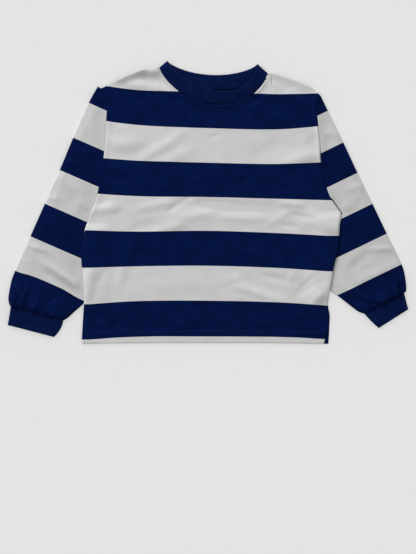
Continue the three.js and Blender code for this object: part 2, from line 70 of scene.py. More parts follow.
# Body
BODY_LENGTH = 452  # from the hem to the top of the neckband
HEM_DEPTH = 20
HEM_BOW = 1.8  # the hem's middle lies this much higher than its ends
HEM_EXTRA = 0.8  # what the turned-up layer adds, pressed flat
HEM_STEP = 2.5  # height over which that is lost above the hem
LOFT, LOFT_WIDTH = 1.2, 42  # how far the front stands off the back, and over what width it rises
UNEVEN = 0.22  # height of the cloth's faint waves
CREASE_RAMP = 3.5  # distance over which creases rise from the garment's outline
NECK_RISE, NECK_RISE_WIDTH = 1.2, 26  # the front stands higher along the neckband
NECK_RIDGE, NECK_RIDGE_FROM, NECK_RIDGE_WIDTH = 1, 3.2, 2  # what the turned-in seam edges press up
ARMHOLE_RIDGE = {"left": 0.8, "right": 1.3}  # the same beside an armhole
RIDGE_REACH = 14
NECK_SAMPLES = 160  # places along the neck seam
BACK_BEYOND = 0.9  # the back's armhole lies this far outside the front's
UNDERARM_ROW = 0.47  # share of a panel's rows that lies below the underarms

# Sleeves
SLEEVE_HEIGHT = 2 * CLOTH + 0.3  # both layers of a sleeve and the space between them
BODY_OVER_SLEEVE = SLEEVE_HEIGHT + 0.2  # the body's sides lie on the sleeves, at this height
SLEEVE_SWELL_FROM = 0.86  # share of the sleeve's length where it starts to swell towards the cuff
SLEEVE_LOFT = 1.7
SLEEVE_LOFT_RAMP = (4, 26)  # distances from the body's edge between which that loft rises
SLEEVE_CREASE_RAMP = (3, 11)  # the same for the sleeve's creases
SLEEVE_LOFT_SIDE = 0.16  # share of the sleeve's width over which the loft rises from a fold
SLEEVE_CREASE_SIDE = 0.05
SLEEVE_HEAD_ROLL = {"left": 0.3, "right": 3}  # how far the seam lifts the sleeve's head
SLEEVE_HEAD_FALL = 11  # distance over which it comes down
SLEEVE_HEAD_RAMP = (5, 30)  # heights above the underarm between which that roll starts
PUFF = 1.6  # how far the gathered end of a sleeve stands above its cuff
PUFF_FALL = 6.5  # distance over which it comes down to the cuff's seam
PUFF_RAMP = (0.88, 0.97)  # shares of the sleeve's length between which it rises
FAN, FAN_POWER = 0.26, 1.5  # near the underarm the sleeve's rows fan out from that corner
FAN_CREEP = 0.02
BEND_FADES = 0.22  # share of the length over which the rows lose the armhole's shape
ARMHOLE_SAMPLES = 241  # places along an armhole

# Ribbing
RIB_HEIGHT = 2 * RIB_CLOTH + 0.5
RIB_PITCH, RIB_DEPTH = 3, 0.4
RIB_STEPS = 6  # vertices across a rib
RIB_FOLD_EDGE = Edge(RIB_CLOTH / 2, RIB_CLOTH / 2 * 0.92)
CUFF_SEAM_EDGE = Edge(RIB_CLOTH / 2, 0.9)
BAND_SEAM_EDGE = Edge(RIB_CLOTH * 0.8, RIB_CLOTH / 2 * 0.96)
BAND_DEPTH = 20
BAND_PUFF = 1.2  # the neckband is thickest near its folded inner edge
BAND_RIM, BAND_RIM_AT, BAND_RIM_WIDTH = 1.1, 0.9, 0.06
BAND_OVER_BACK = 0.3  # the back strip's thinned edge lies this far over the back's edge

# Sewing thread
THREAD = 0.5
THREAD_SHAPE = (0.4, 0.9, 1, 0.9, 0.4)  # share of its thickness along one stitch
THREAD_SIDES = 6
STITCH, STITCH_PITCH = 2.3, 3

# Distances between vertices
FRONT_STEP = 2.3
BACK_STEP = 4
SLEEVE_STEP = 2.4
RIB_ROW_STEP = {"cuff": 2.5, "neckband": 1.6}
RIB_UNDER = {"cuff": 30, "neckband": 160}  # quads across the lower layer
SLEEVE_ACROSS = 120  # quads across a sleeve's upper layer

OUTWARD = {"left": -1, "right": 1}  # which way along x leads away from the body
Place = namedtuple("Place", "x up")
UNDERARM = {"left": Place(-194.5, 190), "right": Place(212.5, 209)}
SHOULDER_TIP = {"left": Place(-161.6, 412), "right": Place(181.6, 393)}

# Outlines, as places: x and up. Left is the viewer's left.
SIDE_SEAM = {
    "left": [
        (-202, -0.6), (-200, 38), (-198, 62), (-198.5, 86), (-201, 118),
        (-202.5, 140), (-201, 161), UNDERARM["left"],
    ],
    "right": [
        (192.5, -0.6), (194.5, 38), (192, 62), (195, 86), (200, 118),
        (205, 140), (208.5, 161), (210.5, 190), UNDERARM["right"],
    ],
}
ARMHOLE = {
    "left": [
        UNDERARM["left"], (-188, 209), (-179, 231), (-171.5, 265), (-168, 289),
        (-164.5, 322), (-163, 350), (-161.6, 378), SHOULDER_TIP["left"],
    ],
    "right": [
        UNDERARM["right"], (197, 231), (190, 247), (185, 265), (181, 289),
        (179, 322), (176, 350), (174.5, 378), SHOULDER_TIP["right"],
    ],
}
# The sleeve's outer fold, from the shoulder tip down. At the left the sleeve's head puckers above it.
SLEEVE_OUTER = {
    "left": [
        (-167, 409.6), (-171.5, 408), (-175.8, 410.8), (-178.6, 406.5),
        (-190.4, 385), (-215.5, 329), (-236.8, 278), (-260.8, 223.5),
        (-284.6, 170), (-309.8, 112.5), (-316, 92), (-319, 70),
    ],
    "right": [
        (192, 371.7), (215.8, 322.7), (238.6, 274), (262.7, 224),
        (285.8, 176), (308.8, 128.5), (315, 107), (317, 86),
    ],
}
# The sleeve's inner fold: first by its distance inside the body's edge, and then running free
Beside = namedtuple("Beside", "up inside")
INNER_BESIDE = {
    "left": [
        Beside(180, -1), Beside(168, 1.5), Beside(150, 7), Beside(125, 11), Beside(100, 12),
        Beside(82, 8), Beside(65, -0.5),
    ],
    "right": [
        Beside(199, -1.4), Beside(187, 1.5), Beside(168, 7), Beside(145, 11), Beside(118, 12),
        Beside(100, 8.5), Beside(85, -0.5),
    ],
}
INNER_FREE = {
    "left": [(-212.8, 51.4), (-224.2, 41)],
    "right": [(209.9, 74.4), (228.6, 59.7), (240.6, 50.9)],
}
# A cuff's two folds. bow is how far each stands out between its ends.
CuffFold = namedtuple("CuffFold", "start end bow")
CUFF_FOLDS = {
    "left": {
        "outer": CuffFold((-315.2, 58.4), (-320, 29.6), 0),
        "inner": CuffFold((-231.5, 36.6), (-246, 10.4), 3),
    },
    "right": {
        "outer": CuffFold((313.3, 81.1), (320, 54.8), 0),
        "inner": CuffFold((250.4, 47.4), (272.8, 24.8), 1),
    },
}
VENT_HEIGHT = 38
VENT_INSET = {"front": {"left": 0, "right": 7.5}, "back": {"left": 0, "right": 0}}  # at the hem

# Curves that bow below a straight line: bow is the deepest drop, and deepest_at the share of the way across
# where that lies. left and right make those sides fuller.
Bow = namedtuple("Bow", "start end bow deepest_at left right")
NECK_LEFT, NECK_RIGHT = Place(-77.8, 441.3), Place(95.7, 432.2)
BAND_LEFT, BAND_RIGHT = Place(-65.1, 452), Place(79.2, 446.9)
NECK_SEAM = {
    "front": Bow(NECK_LEFT, NECK_RIGHT, 54.4, 0.5, 2, 2.5),
    "back": Bow(NECK_LEFT, NECK_RIGHT, 31, 0.52, 2, 2),
}
BAND_EDGE = {
    "front": Bow(BAND_LEFT, BAND_RIGHT, 45.7, 0.62, 1.8, 2.6),
    "back": Bow(BAND_LEFT, BAND_RIGHT, 20, 0.5, 2, 2),
}
SHOULDER = {
    "left": Bow(SHOULDER_TIP["left"], NECK_LEFT, -5.6, 0.5, 2, 2),
    "right": Bow(NECK_RIGHT, SHOULDER_TIP["right"], -8.3, 0.72, 2, 2),
}
BOW_FULLNESS = 0.75

# The heights above the hem between which the body's sides lie on the sleeves
Under = namedtuple("Under", "start full full_to end")
SLEEVE_UNDER = {"left": Under(38, 60, 180, 194), "right": Under(56, 79, 198, 213)}
UNDER_WIDTH = 18  # width of the side that lies at full height
UNDER_FADE = 30  # width over which it comes down to the middle

# Folds and creases. angle is from +x in degrees, and a negative height is a trough.
Fold = namedtuple("Fold", "x up angle length width height")
# Where the shoulders' folded edges stand up from the floor, front and back together
SHOULDER_ROLLS = [
    Fold(-126, 429.5, 21, 50, 8.5, 5.8), Fold(-95, 436, -4, 35, 9.5, 6), Fold(133, 423, -24, 74, 12, 3.8),
]
YOKE_FOLDS = [
    Fold(-84, 408, -9, 96, 8, 2.2), Fold(-120, 413, 14, 50, 6, 0.7), Fold(104, 414, -34, 36, 6, 1),
    Fold(152, 392, -14, 60, 10, 1.8),
]
CHEST_FOLDS = [
    Fold(-82, 308, 26, 64, 8, 1.4), Fold(-52, 297, 24, 60, 13, 1.7), Fold(-128, 297, 6, 66, 15, -1.3),
    Fold(-60, 324, 31, 56, 8, 1.1), Fold(-132, 319, 6, 60, 10, 1.3), Fold(12, 331, 12, 18, 4, -0.7),
    Fold(40, 352, -3, 130, 9, 0.7), Fold(96, 310, 22, 56, 11, -1), Fold(148, 295, 16, 70, 11, 3),
    Fold(160, 328, 50, 30, 7, 0.5), Fold(-96, 372, 17, 70, 10, 0.9), Fold(62, 372, -12, 90, 12, 0.8),
    Fold(-20, 268, 9, 120, 13, 0.8), Fold(112, 262, -11, 90, 11, 0.8), Fold(-130, 264, 18, 60, 9, -0.8),
]
WAIST_FOLDS = [
    Fold(-166, 215, 4, 46, 8, 2.3), Fold(-170, 229, 3, 28, 6, -1), Fold(-84, 221, 13, 58, 6.5, 1.3),
    Fold(-46, 223, 32, 42, 3.2, -1.9), Fold(-28, 207, 8, 70, 9, 0.9), Fold(-34, 190, 6, 70, 9, 0.8),
    Fold(42, 218, -3, 152, 9, -2.1), Fold(-20, 203, 8, 60, 8, 1.2), Fold(58, 200, -3, 76, 7, 1.2),
    Fold(112, 200, 31, 44, 6, 0.9), Fold(-62, 184, 18, 56, 8, 1.5), Fold(-102, 187, 9, 40, 8, -1.1),
    Fold(152, 202.5, -11, 40, 4, -1.3), Fold(131, 187.5, -8, 28, 3.6, -1.1), Fold(133, 223, -5, 40, 5, 1.2),
    Fold(188, 190, -24, 62, 12, 3.4), Fold(-116, 154, 24, 66, 10, 1), Fold(-14, 150, -6, 110, 12, 0.9),
    Fold(74, 144, -20, 60, 8, 1.2),
]
HIP_FOLDS = [
    Fold(-190, 96, 84, 60, 9, 3.2), Fold(-170, 106, 60, 30, 6, -0.8), Fold(-138, 110, 78, 46, 7, 1.1),
    Fold(-60, 92, 5, 120, 14, 0.8), Fold(38, 102, 25, 38, 6, 0.5), Fold(52, 97, -44, 34, 5, 1.1),
    Fold(88, 77.5, -17, 90, 7.5, 2.4), Fold(84, 66, -10, 90, 7, 1.2), Fold(110, 103.5, -14, 48, 5, -1.6),
    Fold(134, 108, 62, 30, 6, 0.8), Fold(170, 100, 38, 62, 6.5, -2.6), Fold(176, 73, 52, 44, 8.5, 2.4),
    Fold(-150, 42, 30, 60, 11, 0.8), Fold(-30, 36, -7, 120, 13, 0.7), Fold(96, 34, 12, 90, 11, 0.8),
    Fold(168, 36, 70, 40, 8, 0.9),
]
BODY_FOLDS = YOKE_FOLDS + CHEST_FOLDS + WAIST_FOLDS + HIP_FOLDS
SLEEVE_FOLDS = {
    "left": [
        Fold(-212, 346, 64, 60, 8, 0.7), Fold(-196, 300, 30, 60, 9, 0.8), Fold(-226, 257, -40, 50, 7, 1.2),
        Fold(-250, 232, -5, 30, 5, 1), Fold(-198, 220, -45, 30, 5, 0.9), Fold(-240, 190, -28, 70, 11, 0.9),
        Fold(-275, 153, -17, 40, 4, 1.5), Fold(-233, 109.5, -34, 70, 5.5, 2.6),
        Fold(-240, 99, -34, 64, 6, -1.4), Fold(-303, 74, 76, 40, 8, 2.6), Fold(-281, 66, 74, 34, 4.5, 1.8),
        Fold(-264, 62, 60, 34, 6, 2.2), Fold(-253, 64, 55, 28, 5, -1.6), Fold(-232, 58, -30, 50, 8, 1.5),
    ],
    "right": [
        Fold(199, 335, -6, 34, 6, 1.1), Fold(214, 300, -62, 60, 9, 0.8), Fold(241, 250, 14, 44, 6, 1),
        Fold(226, 222, 38, 50, 8, 0.8), Fold(250, 196, 24, 70, 10, 0.8), Fold(277, 151, 3, 44, 5, 1.5),
        Fold(243, 132, 43, 58, 7, -1.1), Fold(268, 111, 24, 86, 9, 1.7), Fold(256, 74, -20, 68, 7, 3),
        Fold(258, 64.5, -17, 60, 6, -2), Fold(300, 88, 80, 36, 3.6, 1.5), Fold(288, 74, 62, 34, 4, 1.3),
    ],
}
# Gathers into the cuffs. across and width are shares of the sleeve's width, and reach of its length.
Gather = namedtuple("Gather", "across width reach height")
GATHERS = {
    "left": [
        Gather(0.07, 0.03, 0.12, 1.6), Gather(0.15, 0.022, 0.1, -2), Gather(0.24, 0.03, 0.17, 2.8),
        Gather(0.35, 0.025, 0.1, -1.8), Gather(0.44, 0.028, 0.14, 2.9), Gather(0.54, 0.03, 0.12, -2),
        Gather(0.64, 0.035, 0.1, 1.7), Gather(0.76, 0.03, 0.08, 1.1), Gather(0.88, 0.035, 0.06, 0.9),
    ],
    "right": [
        Gather(0.06, 0.022, 0.2, 2.2), Gather(0.12, 0.018, 0.14, -1.9), Gather(0.19, 0.022, 0.18, 2.7),
        Gather(0.28, 0.02, 0.12, -1.8), Gather(0.36, 0.028, 0.1, 1.8), Gather(0.49, 0.03, 0.09, 1.6),
        Gather(0.61, 0.035, 0.1, -1.6), Gather(0.73, 0.04, 0.12, 2.4), Gather(0.88, 0.035, 0.06, 0.9),
    ],
}
GATHER_FLOOR = 1.3  # the gathers' troughs stand this far above the plain sleeve at the cuff

# The faint waves of cloth that isn't pulled flat. angle is in degrees, and phase in radians.
Wave = namedtuple("Wave", "length angle phase")
WAVES = [
    Wave(61, 20, 0.3), Wave(47, 75, 1.9), Wave(34, -35, 4.1), Wave(26, 50, 2.6), Wave(19, -70, 5.2),
    Wave(14, 5, 0.9),
]

# Stripe edges on the body, from the neck down: their heights at five places across. Navy lies between the
# first and second, the third and fourth, and so on.
StripeEdge = namedtuple("StripeEdge", "far_left left middle right far_right")
END_STRIPE = 90  # no stripe goes on this far beyond the first or last edge
STRIPE_PLACES = StripeEdge(-190, -110, 0, 110, 190)
BODY_STRIPES = [
    StripeEdge(416, 404.5, 402, 398.3, 400),
    StripeEdge(359.7, 348.9, 344, 342, 348.7),
    StripeEdge(298.2, 292.2, 288.9, 286.9, 290),
    StripeEdge(240.3, 235.3, 234, 231.2, 229),
    StripeEdge(180.8, 179, 180.2, 176.6, 172.2),
    StripeEdge(121, 123.4, 124.3, 120.8, 115.3),
    StripeEdge(63, 68.1, 68.6, 66.1, 60.8),
    StripeEdge(6.6, 11.2, 11.4, 10.9, 7.2),
]
# On the back the two ends differ: navy shows at the open vent, and inside the neck, where the raised top
# stripe's navy is partly real and partly painted shade for the shaded strip there.
BACK_TOP_SHADE_RISE, BACK_LOWEST_FALL = 14, 17
# Stripe edges on the sleeves, along each sleeve's own line. The last one bows towards the shoulder.
SLEEVE_LINE = {"left": (-0.4, -0.917), "right": (0.436, -0.9)}
SLEEVE_STRIPES = {
    "left": (-276, -215.5, -159.4, -100.7, -43.6, 16.5),
    "right": (-251, -195, -141.4, -86.6, -33.6, 20.5),
}
STRIPE_BOW = {"left": Fold(-258, 88, -20, 84, 100, 4.2), "right": Fold(283, 92, 26, 60, 100, 0.3)}
# Painted shade: a thin sliver of the right sleeve beside the underarm is coloured navy for the dark, shaded
# gap at the seam: its heights and width
SHADE_SLIVER_FROM, SHADE_SLIVER_TO, SHADE_SLIVER_WIDTH = 206, 232, 1.8
INTO_NAVY = 1.02  # its stripe number, past an even one

# Colours, as linear light
NAVY = (0.0012, 0.0072, 0.053)
RIB_NAVY = (0.0019, 0.0082, 0.05)
OFF_WHITE = (0.62, 0.62, 0.62)
WHITE_THREAD = (0.44, 0.44, 0.44)
NAVY_THREAD = (0.006, 0.018, 0.085)
SLEEVE_PAINTED_SHADE = 0.9  # painted shade: the sleeves are coloured a little darker than the body, for the dimmer light on them
FLOOR = (0.88, 0.88, 0.88)

# Floor and light. Their sizes, and the lamp's place from the middle of the photograph, are in metres.
FLOOR_SIZE = 12
FLOOR_BELOW = 0.0002  # the floor's top lies just under the garment
WORLD_STRENGTH = 0.5
KEY_POWER = 325
KEY_SIZE = (2.2, 1.8)
KEY_FROM = (-2.7, 4.5, 2.65)
FLOOR_POWER = 1.2


def smooth(x, low, high):
    t = np.clip((np.asarray(x, float) - low) / (high - low), 0, 1)
    return t * t * (3 - 2 * t)


def lerp(a, b, t):
    return a + (b - a) * t


class Curve:
    """A smooth curve through a table's points, read by the share of its length."""

    def __init__(self, points, steps=40):
        p = np.asarray(points, float)
        last = len(p) - 1
        t = np.linspace(0, last, last * steps + 1)
        i = np.minimum(t.astype(int), last - 1)
        w = (t - i)[:, None]
        a, b, c, d = (p[np.clip(i + k, 0, last)] for k in (-1, 0, 1, 2))
        v0, v1 = (c - a) / 2, (d - b) / 2
        self.points = (2 * b - 2 * c + v0 + v1) * w**3 + (3 * c - 3 * b - 2 * v0 - v1) * w**2 + v0 * w + b
        steps_long = np.hypot(*np.diff(self.points, axis=0).T)
        self.length = steps_long.sum()
        self.share = np.concatenate([[0], np.cumsum(steps_long)]) / self.length

    def __call__(self, t):
        return np.stack([np.interp(t, self.share, self.points[:, k]) for k in (0, 1)], axis=-1)

    def x_at(self, up):
        return np.interp(up, self.points[:, 1], self.points[:, 0])

    def moved_out(self, t, side, distance):
        """The curve moved out from the body by a distance."""
        ahead = self(np.minimum(t + 0.002, 1)) - self(np.maximum(t - 0.002, 0))
        ahead /= np.linalg.norm(ahead, axis=-1, keepdims=True)
        outward = np.stack([ahead[..., 1], -ahead[..., 0]], axis=-1) * OUTWARD[side]
        return self(t) + outward * np.asarray(distance)[..., None]


def bowed(b, t):
    """A curve that bows below the line between its two points."""
    t = np.asarray(t, float)
    on_left = t < b.deepest_at
    away = np.where(on_left, 1 - t / b.deepest_at, (t - b.deepest_at) / (1 - b.deepest_at))
    away = np.clip(away, 0, 1)
    drop = b.bow * (1 - away ** np.where(on_left, b.left, b.right)) ** BOW_FULLNESS
    return np.stack([lerp(b.start[0], b.end[0], t), lerp(b.start[1], b.end[1], t) - drop], axis=-1)


def patch(low, high, start, finish):
    """The surface between four edges: low and high run across, start and finish run from low to high."""

    def surface(u, v):
        w, z = u[..., None], v[..., None]
        zero, one = np.zeros_like(u), np.ones_like(u)
        across = low(u) * (1 - z) + high(u) * z
        along = start(v) * (1 - w) + finish(v) * w
        low_corners = low(zero) * (1 - w) + low(one) * w
        high_corners = high(zero) * (1 - w) + high(one) * w
        return across + along - (low_corners * (1 - z) + high_corners * z)

    return surface


def along_and_across(x, y, angle):
    turn = math.radians(angle)
    return x * math.cos(turn) + y * math.sin(turn), y * math.cos(turn) - x * math.sin(turn)


def folds_at(folds, at):
    total = np.zeros(at.shape[:-1])
    for f in folds:
        along, across = along_and_across(at[..., 0] - f.x, at[..., 1] - f.up, f.angle)
        total += f.height * np.exp(-((across / f.width) ** 2) - (along / (f.length / 2)) ** 4)
    return total


def undulation(at, height):
    total = 0
    for wave in WAVES:
        along, across = along_and_across(at[..., 0], at[..., 1], wave.angle)
        bend = 0.8 * np.sin(across / wave.length * 2.3 + wave.phase)
        swing = np.sin(2 * math.pi * (along / wave.length) + wave.phase + bend)
        total = total + wave.length / WAVES[0].length * swing
    return height * total / 2


side_seam = {side: Curve(rows) for side, rows in SIDE_SEAM.items()}
armhole = {side: Curve(rows) for side, rows in ARMHOLE.items()}


def beyond(t):
    """How far the back's armhole lies outside the front's, by share of its length."""
    return BACK_BEYOND * smooth(t, 0, 0.06) * (1 - smooth(t, 0.94, 1))


def body_x(side, up):
    return np.where(up < UNDERARM[side].up, side_seam[side].x_at(up), armhole[side].x_at(up))


def body_lift(at):
    """How far the body is raised where its sides lie on the sleeves and where its shoulders fold over."""
    lift = 0
    for side, span in SLEEVE_UNDER.items():
        x, up = at[..., 0], at[..., 1]
        inside = OUTWARD[side] * (side_seam[side].x_at(up) - x)
        along = smooth(up, span.start, span.full) * (1 - smooth(up, span.full_to, span.end))
        lift = lift + BODY_OVER_SLEEVE * along * (1 - smooth(inside, UNDER_WIDTH, UNDER_WIDTH + UNDER_FADE))
    return lift + folds_at(SHOULDER_ROLLS, at)


def panel_wall(up):
    """A panel's thickness, which is more over the hem."""
    hem_ends = HEM_DEPTH - 1
    return CLOTH + HEM_EXTRA * (1 - smooth(up, hem_ends, hem_ends + HEM_STEP))


def shares(length, step, kept=()):
    """Shares of a length: close together at both ends, even between, and with some kept exactly."""
    ends = np.array(EDGE_STEPS) / length
    middle = np.linspace(0, 1, round(length / step) + 1)
    kept = np.array(kept, float)
    clear = (middle > ends[-1] * 1.2) & (middle < 1 - ends[-1] * 1.2)
    for k in kept:
        clear &= np.abs(middle - k) > 0.4 * step / length
    return np.sort(np.concatenate([ends, middle[clear], kept, 1 - ends]))


def edge_drop(distance, edge):
    """How far a surface has turned down at a distance from its edge, as a quarter of an ellipse."""
    t = 1 - np.clip(np.asarray(distance, float) / edge.width, 0, 1)
    return edge.depth * (1 - np.sqrt(1 - t * t))


class Panel:
    """The places of a body panel's vertices, seen from above, and how far each is from its four edges."""

    def __init__(self, name, step):
        left, right = (self.side(name, side) for side in ("left", "right"))
        span = SHOULDER_TIP["right"].x - SHOULDER_TIP["left"].x
        neck = [(place.x - SHOULDER_TIP["left"].x) / span for place in (NECK_LEFT, NECK_RIGHT)]

        def top(w):
            on_left = bowed(SHOULDER["left"], np.clip(w / neck[0], 0, 1))
            on_neck = bowed(NECK_SEAM[name], np.clip((w - neck[0]) / (neck[1] - neck[0]), 0, 1))
            on_right = bowed(SHOULDER["right"], np.clip((w - neck[1]) / (1 - neck[1]), 0, 1))
            w = w[..., None]
            return np.where(w < neck[0], on_left, np.where(w < neck[1], on_neck, on_right))

        def hem(w):
            ends = left(np.zeros(1))[0], right(np.zeros(1))[0]
            bow = HEM_BOW * (1 - np.abs(2 * w - 1) ** 3)
            return lerp(*ends, w[..., None]) + np.stack([0 * w, bow], axis=-1)

        across = shares(span, step, neck)
        up = shares(BODY_LENGTH, step, [UNDERARM_ROW])
        u, v = np.meshgrid(across, up)
        self.at = patch(hem, top, left, right)(u, v)
        run = np.hypot(*np.moveaxis(np.diff(self.at, axis=1), -1, 0))
        self.from_left = np.concatenate([np.zeros((len(up), 1)), np.cumsum(run, axis=1)], axis=1)
        rise = np.hypot(*np.moveaxis(np.diff(self.at, axis=0), -1, 0))
        self.from_hem = np.concatenate([np.zeros((1, len(across))), np.cumsum(rise, axis=0)])
        self.from_right = self.from_left[:, -1:] - self.from_left
        self.from_side = np.minimum(self.from_left, self.from_right)
        self.from_top = self.from_hem[-1:] - self.from_hem
        self.from_outline = np.minimum.reduce([self.from_side, self.from_hem, self.from_top])
        self.in_armhole = smooth(v, UNDERARM_ROW - 0.05, UNDERARM_ROW + 0.06)

    @staticmethod
    def side(name, side):
        """A panel's left or right edge: its side seam, with the vent, and above that its armhole."""
        open_by = VENT_INSET[name][side] * OUTWARD[side]
        rows = [(x - open_by * (1 - float(smooth(up, 0, VENT_HEIGHT))), up) for x, up in SIDE_SEAM[side]]
        seam = Curve(rows)

        def edge(v):
            below = seam(np.clip(v / UNDERARM_ROW, 0, 1))
            t = np.clip((v - UNDERARM_ROW) / (1 - UNDERARM_ROW), 0, 1)
            above = armhole[side].moved_out(t, side, beyond(t) if name == "back" else 0 * t)
            return np.where((v < UNDERARM_ROW)[..., None], below, above)

        return edge


def stripe_edges(x):
    """The heights of the body's stripe edges at x, from the highest down."""
    edges = [Curve(list(zip(STRIPE_PLACES, row))).points for row in BODY_STRIPES]
    return [np.interp(x, edge[:, 0], edge[:, 1]) for edge in edges]


def stripe_number(position, edges):
    """Counts the stripe edges passed, with the share of the way to the next. Odd stripes are navy."""
    number = np.zeros_like(position)
    number = np.where(position > edges[0], 1 - (position - edges[0]) / END_STRIPE, number)
    for k, (upper, lower) in enumerate(zip(edges, edges[1:])):
        inside = (position <= upper) & (position > lower)
        number = np.where(inside, k + 1 + (upper - position) / (upper - lower), number)
    below = position <= edges[-1]
    return np.where(below, len(edges) + (edges[-1] - position) / END_STRIPE, number)


def mesh_object(name, places, quads, material, weave, stripe=None):
    """A mesh with the cloth's own coordinates as its UV map, and its stripe number on each vertex."""
    data = bpy.data.meshes.new(name)
    world = places - np.array([0, BODY_LENGTH / 2, 0])
    data.from_pydata((world * MM).tolist(), [], quads.tolist())
    uv = data.uv_layers.new(name="weave")
    corners = np.zeros(len(data.loops), int)
    data.loops.foreach_get("vertex_index", corners)
    uv.data.foreach_set("uv", weave[corners].ravel())
    if stripe is not None:
        data.attributes.new("stripe", "FLOAT", "POINT").data.foreach_set("value", stripe)
    data.polygons.foreach_set("use_smooth", np.ones(len(data.polygons), bool))
    data.materials.append(material)
    data.update()
    obj = bpy.data.objects.new(name, data)
    bpy.context.scene.collection.objects.link(obj)
    return obj


def ring_quads(rows, columns, closed):
    """Quads of a grid of vertices, joined across its last column where it is closed."""
    ids = np.arange(rows * columns).reshape(rows, columns)
    if closed:
        ids = np.concatenate([ids, ids[:, :1]], axis=1)
    a, b, c, d = ids[:-1, :-1], ids[:-1, 1:], ids[1:, 1:], ids[1:, :-1]
    return np.stack([a, b, c, d], axis=-1).reshape(-1, 4), ids


def shell(name, upper, lower, material, weave, stripe, turned=False, closed=False):
    """A closed thin shell between two grids of places; its open edges are walled."""
    rows, columns = upper.shape[:2]
    quads, ids = ring_quads(rows, columns, closed)
    count = rows * columns
    faces = [quads, quads[:, ::-1] + count]
    open_edges = [(ids[0], False), (ids[-1], True)]
    if not closed:
        open_edges += [(ids[:, 0], True), (ids[:, -1], False)]
    for line, flip in open_edges:
        wall = np.stack([line[:-1] + count, line[1:] + count, line[1:], line[:-1]], axis=-1)
        faces.append(wall[:, ::-1] if flip else wall)
    faces = np.concatenate(faces)
    if turned:
        faces = faces[:, ::-1]
    places = np.concatenate([upper.reshape(-1, 3), lower.reshape(-1, 3)])
    weave = np.concatenate([weave.reshape(-1, 2)] * 2)
    stripe = None if stripe is None else np.concatenate([stripe.ravel()] * 2)
    return mesh_object(name, places, faces, material, weave, stripe)


def with_height(at, z):
    return np.concatenate([at, z[..., None]], axis=-1)


class Shader:
    """Builds a node material with short calls."""

    def __init__(self, name):
        self.material = bpy.data.materials.new(name)
        self.material.use_nodes = True
        self.tree = self.material.node_tree
        self.surface = self.tree.nodes["Principled BSDF"]

    def node(self, kind, inputs=(), **settings):
        node = self.tree.nodes.new(kind)
        for key, value in settings.items():
            setattr(node, key, value)
        for key, value in dict(inputs).items():
            if isinstance(value, bpy.types.NodeSocket):
                self.tree.links.new(value, node.inputs[key])
            else:
                node.inputs[key].default_value = value
        return node

    def math(self, operation, a, b=0.0, c=0.0):
        return self.node("ShaderNodeMath", {0: a, 1: b, 2: c}, operation=operation).outputs[0]

    def noise(self, place, kind):
        inputs = {"Vector": place, "Scale": kind.scale, "Detail": kind.detail}
        return self.node("ShaderNodeTexNoise", inputs).outputs[0]

    def around_zero(self, place, kind):
        return self.math("SUBTRACT", self.noise(place, kind), 0.5)

    def around_one(self, noise, depth):
        return self.line(noise, depth, 1 - depth / 2)

    def line(self, value, slope, start):
        return self.math("MULTIPLY_ADD", value, slope, start)

    def mix(self, share, a, b):
        return self.node("ShaderNodeMix", {0: share, 6: a, 7: b}, data_type="RGBA").outputs[2]

    def scaled(self, colour, tone):
        inputs = {0: colour, "Scale": tone}
        return self.node("ShaderNodeVectorMath", inputs, operation="SCALE").outputs[0]

    def finish(self, settings):
        for key, value in settings.items():
            self.surface.inputs[key].default_value = value
        return self.material

    def wave(self, place, period, shift=0.0):
        """From 0 to 1 and back once a period, rounded."""
        angle = self.line(place, 2 * math.pi / period, shift)
        return self.line(self.math("COSINE", angle), 0.5, 0.5)


WALE = 1.15  # width of a column of knit stitches
COURSE = 0.95  # height of a row of them
STITCH_LEAN = 1.1  # slope of a V stitch's two arms
COURSE_DEPTH = 0.55  # how far the knit sinks between rows
KNIT_HEIGHT, RIB_KNIT_HEIGHT = 0.16, 0.08
FUZZ_HEIGHT, RIB_FUZZ_HEIGHT = 0.1, 0.12
FLECK_DEPTH, RIB_FLECK_DEPTH, PLAIN_DEPTH = 0.1, 0.4, 0.12  # how much fine flecks vary a colour
SLUB_ACROSS, SLUB_ALONG = 0.03, 0.3  # uneven yarn shows as streaks along the courses
NAVY_SLUB, WHITE_SLUB = 1, 0.12  # stronger where the dye is deep
NAVY_MOTTLE, WHITE_MOTTLE = 0.9, 0.12  # wear and the lie of the fibres, in soft patches
RIB_MOTTLE = 1.3
STRIPE_BLUR = 0.007  # share of a stripe over which the yarns change
STRIPE_RAGGED = 0.006

# Noises: how many to a millimetre, or to a metre in GRAIN, and how much finer detail
Noise = namedtuple("Noise", "scale detail")
RAGGED, SLUB = Noise(0.9, 1), Noise(1, 3)
MOTTLE, RIB_PATCHES = Noise(0.05, 4), Noise(0.06, 4)
FLECK, RIB_FLECK = Noise(1.7, 2), Noise(0.5, 3)
FUZZ, RIB_FUZZ = Noise(0.8, 4), Noise(0.9, 4)
TWIST, GRAIN = Noise(2.5, 2), Noise(900, 2)

Finish = namedtuple("Finish", "sheen tint roughness")
JERSEY_FINISH = Finish(0.06, (0.35, 0.45, 0.7), 0.92)
RIB_FINISH = Finish(0.16, (0.35, 0.45, 0.7), 0.94)
THREAD_FINISH = Finish(0.1, (0.6, 0.7, 0.9), 0.6)


def cloth_coordinates(s):
    """The place on the cloth, in millimetres, and its two parts: across the wales and along them."""
    place = s.node("ShaderNodeUVMap", uv_map="weave").outputs[0]
    parts = s.node("ShaderNodeSeparateXYZ", {0: place})
    return place, parts.outputs[0], parts.outputs[1]


def cloth_finish(s, colour, height, kind, unit=1):
    """Joins a cloth's colour and its height, with its unit in millimetres, to the surface."""
    bump = s.node("ShaderNodeBump", {"Height": height, "Distance": unit * MM, "Strength": 1.0})
    s.tree.links.new(bump.outputs[0], s.surface.inputs["Normal"])
    s.tree.links.new(colour, s.surface.inputs["Base Color"])
    settings = {"Roughness": kind.roughness, "Specular IOR Level": 0.03, "Sheen Weight": kind.sheen}
    return s.finish({**settings, "Sheen Roughness": 0.3, "Sheen Tint": (*kind.tint, 1)})


